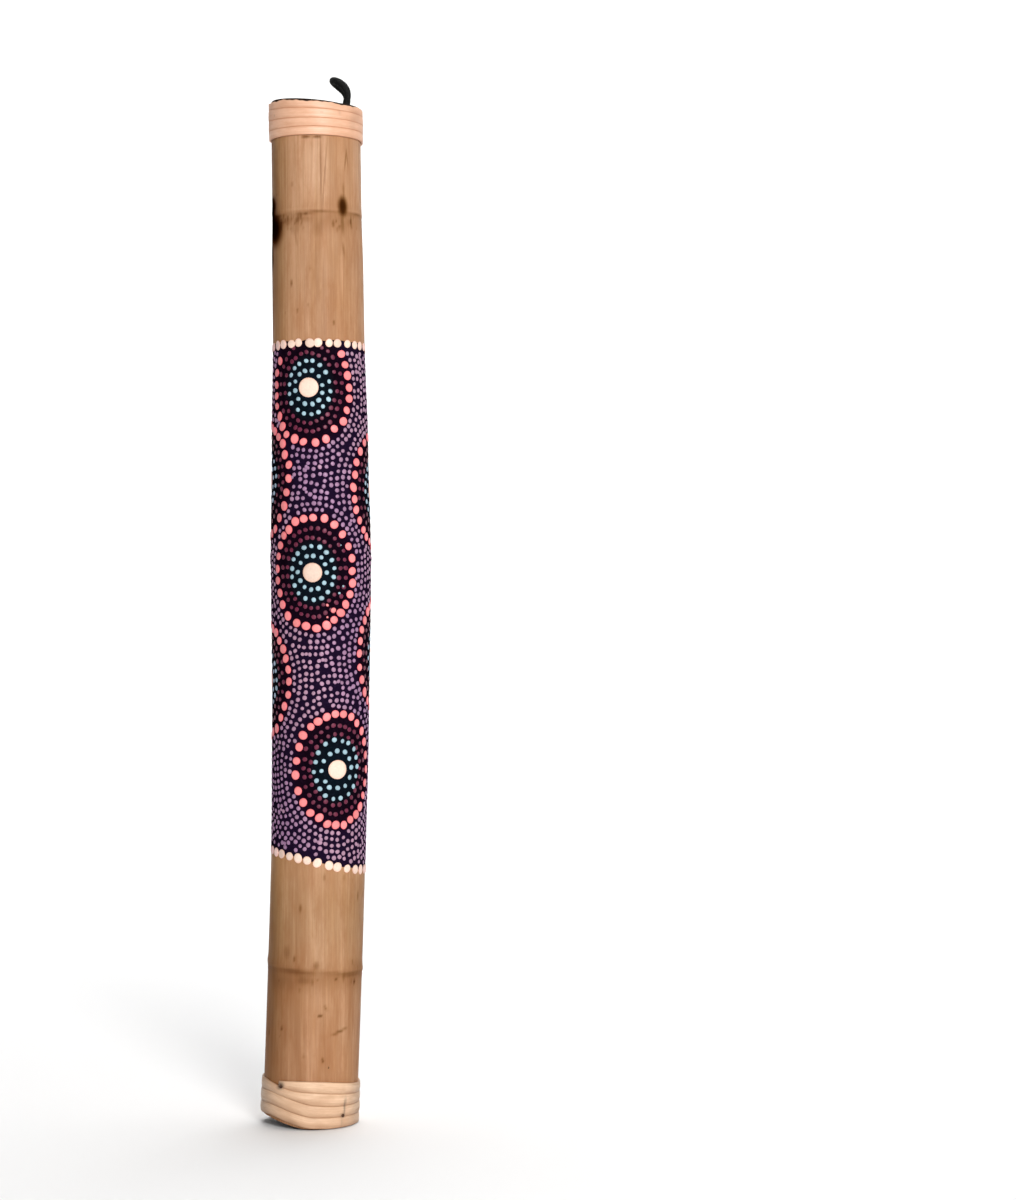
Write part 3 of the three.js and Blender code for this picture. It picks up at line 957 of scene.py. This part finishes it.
def cane_strip(name, node, strip):
    """A split strip wound down the tube, rounded across, with slightly wavy edges."""
    steps = int((strip["end"] - strip["begin"]) * STEPS_PER_TURN) + 1
    turns = np.linspace(strip["begin"], strip["end"], steps)[:, None]
    azimuth = math.radians(strip["phase"]) + TAU * turns
    upper, lower = strip_edge(strip, turns), strip_edge(strip, turns + 1) + strip["gap"]
    across = np.linspace(-1, 1, ACROSS)
    z = (upper + lower) / 2 + (upper - lower) / 2 * across
    foot = foot_level(azimuth, girth(0) + CANE) + 0.3 * MM
    ragged = 0.2 * np.sin(7 * azimuth) + 0.15 * np.sin(17 * azimuth + 2)
    ragged = (ragged + 0.12 * np.sin(41 * azimuth)) * MM
    z = off_top(azimuth, np.clip(z, foot, HEIGHT - 1.2 * MM + ragged), girth(HEIGHT))
    swell = 1 + 0.08 * np.sin(azimuth * 2.3 + 0.5)
    lift = CANE * swell * (1 - strip["fall"] * np.abs(across) ** strip["roundness"])
    face = skin(azimuth, z, lift)
    back = skin(azimuth, z[:, [-1, 0]], 0.04 * MM)
    points = np.concatenate([face, back], axis=1)
    columns = ACROSS + 2
    faces = [tuple(reversed(face)) for face in capped_grid(len(points), columns)]
    piece = mesh_piece(name, points, faces)
    along = turns[:, 0] * TAU * girth(strip["top"])
    layer = piece.data.uv_layers.new(name="strip")
    for loop in piece.data.loops:
        step, column = divmod(loop.vertex_index, columns)
        layer.data[loop.index].uv = (along[step], min(column, ACROSS - 1) / ACROSS * strip["pitch"])
    # Painted shade along the strip's edges.
    border = np.abs(across)[:, None] ** 10
    shade = 1 - border * (1 - np.array(strip["edge"])) + 0 * z[:, :, None]
    # Painted shadow: each turn darker towards its lower edge.
    under = np.clip(0.1 - across, 0, 1)[:, None] * np.array([0.8, 1.0, 1.15])
    shade = shade * (1 - strip["shadow"] * under)
    # Painted shade on the two sides of the strip.
    sides = bell(azimuth_from(azimuth, -80), 0.55) + 0.8 * bell(azimuth_from(azimuth, 75), 0.4)
    shade = shade * (1 - strip["flanks"] * sides)[:, :, None]
    for *outline, darkness in CANE_MARKS:
        shade = shade * (1 - darkness * mark(azimuth, z, *outline))[:, :, None]
    # Painted shade on the strip's sides, in the grooves between turns.
    back_shade = np.broadcast_to(0.8 * np.array(strip["edge"]), (len(points), 2, 3))
    colour_layer(piece, "edge", np.concatenate([shade, back_shade], axis=1).reshape(-1, 3))
    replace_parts(dress(piece, "cane", name), node)


cane_strip("upper_cane", "upper_cane_wrap", UPPER_STRIP)
cane_strip("lower_cane", "lower_cane_wrap", LOWER_STRIP)


# ---- nails, pegs and grains


def direction(azimuth):
    """The level direction of an azimuth."""
    return np.array([math.sin(azimuth), -math.cos(azimuth), 0.0])


def turned_rod(name, start, azimuth, outline, segments):
    """A round piece along a level line: outline is (distance, radius) from start outwards."""
    along, side, up = direction(azimuth), direction(azimuth + math.pi / 2), np.array([0, 0, 1.0])
    angles = spaced(segments)
    points = [
        start + along * distance + radius * (side * math.cos(a) + up * math.sin(a))
        for distance, radius in outline
        for a in angles
    ]
    return mesh_piece(name, points, capped_grid(len(outline), segments))


# A nail from its point to the crown of its head: distance from the cane's face and radius (mm).
NAIL_POINT = [(-3.5, 0.05), (-3.0, 0.6), (-0.3, 0.7)]
NAIL_HEAD = [(-0.2, 1.0), (0.1, 1.05), (0.3, 0.9), (0.42, 0.5), (0.44, 0.1)]


def nail(node):
    """A nail with a domed head that sits in its strip, where its CAD nail is."""
    low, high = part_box(node)
    x, y, z = (low + high) / 2
    start = np.array([float(centre(z)), 0, z])
    azimuth = math.atan2(x - start[0], -y)
    seat = float(outer_radius(azimuth, z)) + CANE
    outline = [(seat + distance * MM, radius * MM) for distance, radius in NAIL_POINT + NAIL_HEAD]
    piece = turned_rod(node.replace("nail", "brad"), start, azimuth, outline, 20)
    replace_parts(dress(piece, "nail", "nail"), node)


PEG_START, PEG_TURN = math.radians(15), math.radians(-30)


def peg(i):
    """A split peg, slightly tapered and uneven, whose outer end is flush with the skin."""
    node = f"peg_{i + 1:02d}"
    azimuth = PEG_START + PEG_TURN * i
    points = np.array([v.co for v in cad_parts[node].data.vertices])
    middle = points.mean(axis=0)
    reach = (points - middle) @ direction(azimuth)
    radius = (points[:, 2].max() - points[:, 2].min()) / 2
    near, far = reach.min(), reach.max() + 0.35 * MM
    outline = [(near, 0.55 * radius)]
    for share in np.linspace(0, 1, 9):
        size = radius * (0.86 + 0.12 * share) * rng.uniform(0.94, 1.0)
        outline.append((near + 0.4 * MM + (far - near - 0.6 * MM) * share, size))
    outline.append((far, 0.7 * radius))
    piece = turned_rod(f"split_peg_{i + 1:02d}", middle, azimuth, outline, 12)
    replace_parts(dress(piece, "peg", "peg"), node)


def pebble(body, node, name, finish, dents):
    """A small rounded lump with a few dents, in place of a CAD lump."""
    low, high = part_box(node)
    middle, radius = (low + high) / 2, (high - low).x / 2
    mesh = bpy.data.meshes.new(name)
    sphere = bmesh.new()
    bmesh.ops.create_icosphere(sphere, subdivisions=3, radius=1)
    sphere.to_mesh(mesh)
    sphere.free()
    shape = np.array([v.co for v in mesh.vertices])
    for _ in range(dents):
        towards = rng.normal(size=3)
        towards /= np.linalg.norm(towards)
        depth = rng.uniform(0.06, 0.16)
        facing = np.clip(shape @ towards, 0, 1)[:, None]
        shape = shape * (1 - depth * facing**3)
    points = shape * radius + np.array(middle)
    mesh.vertices.foreach_set("co", points.astype(np.float32).ravel())
    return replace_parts(dress(piece_of(mesh, name, body), finish, finish), node)


for nail_node in ("upper_nail_1", "upper_nail_2", "lower_nail_1", "lower_nail_2"):
    nail(nail_node)

peg_count = sum(node.startswith("peg_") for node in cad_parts)
for number in range(peg_count):
    peg(number)

grains = sorted(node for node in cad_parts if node.startswith("grain_"))
for grain in grains:
    pebble(grain, grain, grain.replace("grain", "pebble"), "grain", 6)


# ---- plugs


def notched_radius(angle, radius, notches, notch_radius):
    """Distance from a plug's centre to its rim, cut back where a notch bites it."""
    towards = np.array([math.sin(angle), -math.cos(angle)])
    for notch in notches:
        along = float(notch @ towards)
        aside = notch_radius**2 - float(notch @ notch) + along**2
        if along > 0 and aside > 0:
            radius = min(radius, along - math.sqrt(aside))
    return radius


def plug(name, node, up, notches=(), notch_radius=0.0):
    """A disc whose outer face is bevelled and slightly sunk, and at the foot cut askew too."""
    low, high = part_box(node)
    middle = (low + high) / 2
    outward = high.z if up else low.z
    inward = low.z if up else high.z
    step = math.copysign(1, outward - inward)
    segments = 240
    angles = spaced(segments)
    full = (high - low).x / 2
    rim = np.array([notched_radius(a, full, notches, notch_radius) for a in angles])
    levels = [
        (inward, 0.5),
        (inward, 0.97),
        (inward + step * 0.3 * MM, 1.0),
        (outward - step * 0.7 * MM, 1.0),
        (outward - step * 0.25 * MM, 0.985),
        (outward - step * 0.1 * MM, 0.955),
        (outward - step * 0.25 * MM, 0.8),
        (outward - step * 0.35 * MM, 0.4),
    ]
    points = []
    for z, share in levels:
        for angle, radius in zip(angles, rim):
            reach = radius * share + (1 - share) * 0.2 * (full - radius)
            lift = 0 if up else foot_level(angle, reach) * (high.z - z) / (high.z - low.z)
            points.append((middle.x + reach * math.sin(angle), -reach * math.cos(angle), z + lift))
    faces = capped_grid(len(levels), segments)
    if not up:
        faces = [tuple(reversed(face)) for face in faces]
    piece = mesh_piece(name, points, faces)
    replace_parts(dress(piece, "plug", "plug"), node)


# ---- hanging loop

CORD = 4.2 * MM  # thickness of the cord
# Half of the loop's route, from a knot up to the crown, measured from the middle of the rim.
LOOP_HALF = [
    (0.0175, 0.0066, -0.0080),
    (0.0175, 0.0066, -0.0040),
    (0.0176, 0.0067, -0.0005),
    (0.0180, 0.0070, 0.0025),
    (0.0186, 0.0076, 0.0053),
    (0.0187, 0.0083, 0.0080),
    (0.0180, 0.0089, 0.0105),
    (0.0165, 0.0091, 0.0126),
    (0.0146, 0.0086, 0.0142),
    (0.0128, 0.0072, 0.0154),
    (0.0114, 0.0051, 0.0162),
    (0.0105, 0.0026, 0.0167),
    (0.0102, 0.0000, 0.0169),
]
TOP_CENTRE = np.array([float(centre(HEIGHT)), 0, HEIGHT])


def smooth_path(points, step):
    """Points about a step apart along a smooth curve through the given ones, and its length."""
    points = np.array(points)
    padded = np.vstack([2 * points[0] - points[1], points, 2 * points[-1] - points[-2]])
    fine = []
    for a, b, c, d in zip(padded, padded[1:], padded[2:], padded[3:]):
        for t in np.linspace(0, 1, 40, endpoint=False):
            bend = (2 * a - 5 * b + 4 * c - d) * t**2 + (3 * b - a - 3 * c + d) * t**3
            fine.append(0.5 * (2 * b + (c - a) * t + bend))
    fine = np.array(fine + [points[-1]])
    walked = np.concatenate([[0], np.cumsum(np.linalg.norm(np.diff(fine, axis=0), axis=1))])
    count = int(round(walked[-1] / step)) + 1
    wanted = np.linspace(0, walked[-1], count)
    return np.stack([np.interp(wanted, walked, fine[:, k]) for k in range(3)], axis=-1), walked[-1]


def braided_tube(name, path, thickness, strands=8, plait=0.9):
    """A round braided cord along a path: two sets of strands cross over each other."""
    segments = 4 * strands
    tangents = np.gradient(path, axis=0)
    tangents /= np.linalg.norm(tangents, axis=1)[:, None]
    side = np.cross(tangents[0], (1.0, 0.3, 0.1))
    angles = spaced(segments)
    walked = 0.0
    points = []
    for i, (spot, tangent) in enumerate(zip(path, tangents)):
        side = side - tangent * (side @ tangent)
        side /= np.linalg.norm(side)
        other = np.cross(tangent, side)
        walked += float(np.linalg.norm(spot - path[i - 1])) if i else 0.0
        twist = TAU * walked / (plait * strands * 0.45 * thickness)
        left = np.cos(strands / 2 * (angles - twist))
        right = np.cos(strands / 2 * (angles + twist))
        relief = np.maximum(left, right)
        radius = thickness / 2 * (0.94 + 0.06 * relief)
        outward = np.cos(angles)[:, None] * side + np.sin(angles)[:, None] * other
        points.append(spot + radius[:, None] * outward)
    return mesh_piece(name, np.concatenate(points), capped_grid(len(path), segments))


def hanging_loop():
    """The cord loop, from one knot under the plug, over its crown, to the other knot."""
    half = [TOP_CENTRE + p for p in LOOP_HALF]
    mirrored = [TOP_CENTRE + (x, -y, z) for x, y, z in reversed(LOOP_HALF[:-1])]
    path, length = smooth_path(half + mirrored, 0.25 * MM)
    knots = [pebble("stick", f"loop_knot_{i}", f"cord_knot_{i}", "cord", 9) for i in (1, 2)]
    loop = braided_tube("cord_loop", path, CORD)
    dress(loop, "cord", "cord")
    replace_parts(loop, "hanging_loop")


leg = np.array(LOOP_HALF[0][:2])
top_low, top_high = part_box("top_plug")
plug_centre = np.array([(top_low.x + top_high.x) / 2, 0])
leg_places = [TOP_CENTRE[:2] + leg * (1, side) - plug_centre for side in (1, -1)]
plug("dark_top_plug", "top_plug", True, leg_places, CORD / 2 + 0.2 * MM)
plug("dark_bottom_plug", "bottom_plug", False)
hanging_loop()


# ---- stage, light and camera

EYE_DISTANCE = 1.628  # level, from the camera to the line of the stick
EYE_HEIGHT = 0.309
VIEW_HEIGHT = 0.7116  # what the picture takes in from bottom to top, where the stick stands
STICK_LEFT = 0.118  # how far left of the picture's middle the stick's foot is
SENSOR = 36.0


def add_camera():
    """A level camera that looks past the stick on its right."""
    data = bpy.data.cameras.new("camera")
    yaw = math.atan(STICK_LEFT / EYE_DISTANCE)
    data.sensor_width = SENSOR
    data.lens = SENSOR * EYE_DISTANCE * math.cos(yaw) / VIEW_HEIGHT
    camera = put("camera", data)
    camera.location = (0, -EYE_DISTANCE, EYE_HEIGHT)
    camera.rotation_euler = (math.pi / 2, 0, -yaw)
    bpy.context.scene.camera = camera


def add_light(name, place, target, size, power, colour):
    """A round soft light that points at a target."""
    data = bpy.data.lights.new(name, "AREA")
    data.shape = "DISK"
    data.size = size
    data.energy = power
    data.color = colour
    light = put(name, data)
    light.location = place
    light.rotation_euler = (Vector(target) - Vector(place)).to_track_quat("-Z", "Y").to_euler()


def add_stage():
    """A pale floor that curves up into a backdrop, all round."""
    floor_radius, bend, wall_height, segments = 3.0, 1.4, 2.6, 96
    sunk = 0.2 * MM  # how far it lies below the foot, so that the two don't flicker
    outline = [(0.3, 0.0), (1.0, 0.0), (2.0, 0.0), (floor_radius, 0.0)]
    for a in np.linspace(0, math.pi / 2, 16)[1:]:
        outline.append((floor_radius + bend * math.sin(a), bend * (1 - math.cos(a))))
    outline.append((floor_radius + bend, wall_height))
    angles = spaced(segments)
    points = [(r * math.cos(a), r * math.sin(a), z - sunk) for r, z in outline for a in angles]
    points.append((0, 0, -sunk))
    faces = [tuple(reversed(face)) for face in grid_faces(len(outline), segments)]
    faces += [(len(points) - 1, c, (c + 1) % segments) for c in range(segments)]
    mesh = bpy.data.meshes.new("stage")
    mesh.from_pydata(points, [], faces)
    mesh.polygons.foreach_set("use_smooth", [True] * len(mesh.polygons))
    stage = put("stage", mesh)
    paper = Shader("stage_paper", 0.95, Specular_IOR_Level=0.0)
    mesh.materials.append(paper.finish((0.82, 0.82, 0.82, 1)))


def add_world():
    """An even, weak white light from all sides."""
    world = bpy.data.worlds.new("world")
    world.use_nodes = True
    background = world.node_tree.nodes["Background"]
    background.inputs["Color"].default_value = (1, 1, 1, 1)
    background.inputs["Strength"].default_value = 0.14
    bpy.context.scene.world = world
    bpy.context.scene.view_settings.view_transform = "Standard"


add_camera()
add_stage()
add_world()
add_light("key", (0.5, -2.2, 1.0), (0.003, 0, HEIGHT / 2), 0.7, 47, (1.0, 0.99, 0.97))
add_light("overhead", (0.3, 0.9, 3.2), (0.3, 1.4, 0), 2.4, 70, (1.0, 1.0, 1.0))
add_light("backdrop_light", (0.6, 2.2, 3.2), (0.6, 4.4, 0.6), 2.4, 90, (1.0, 1.0, 1.0))
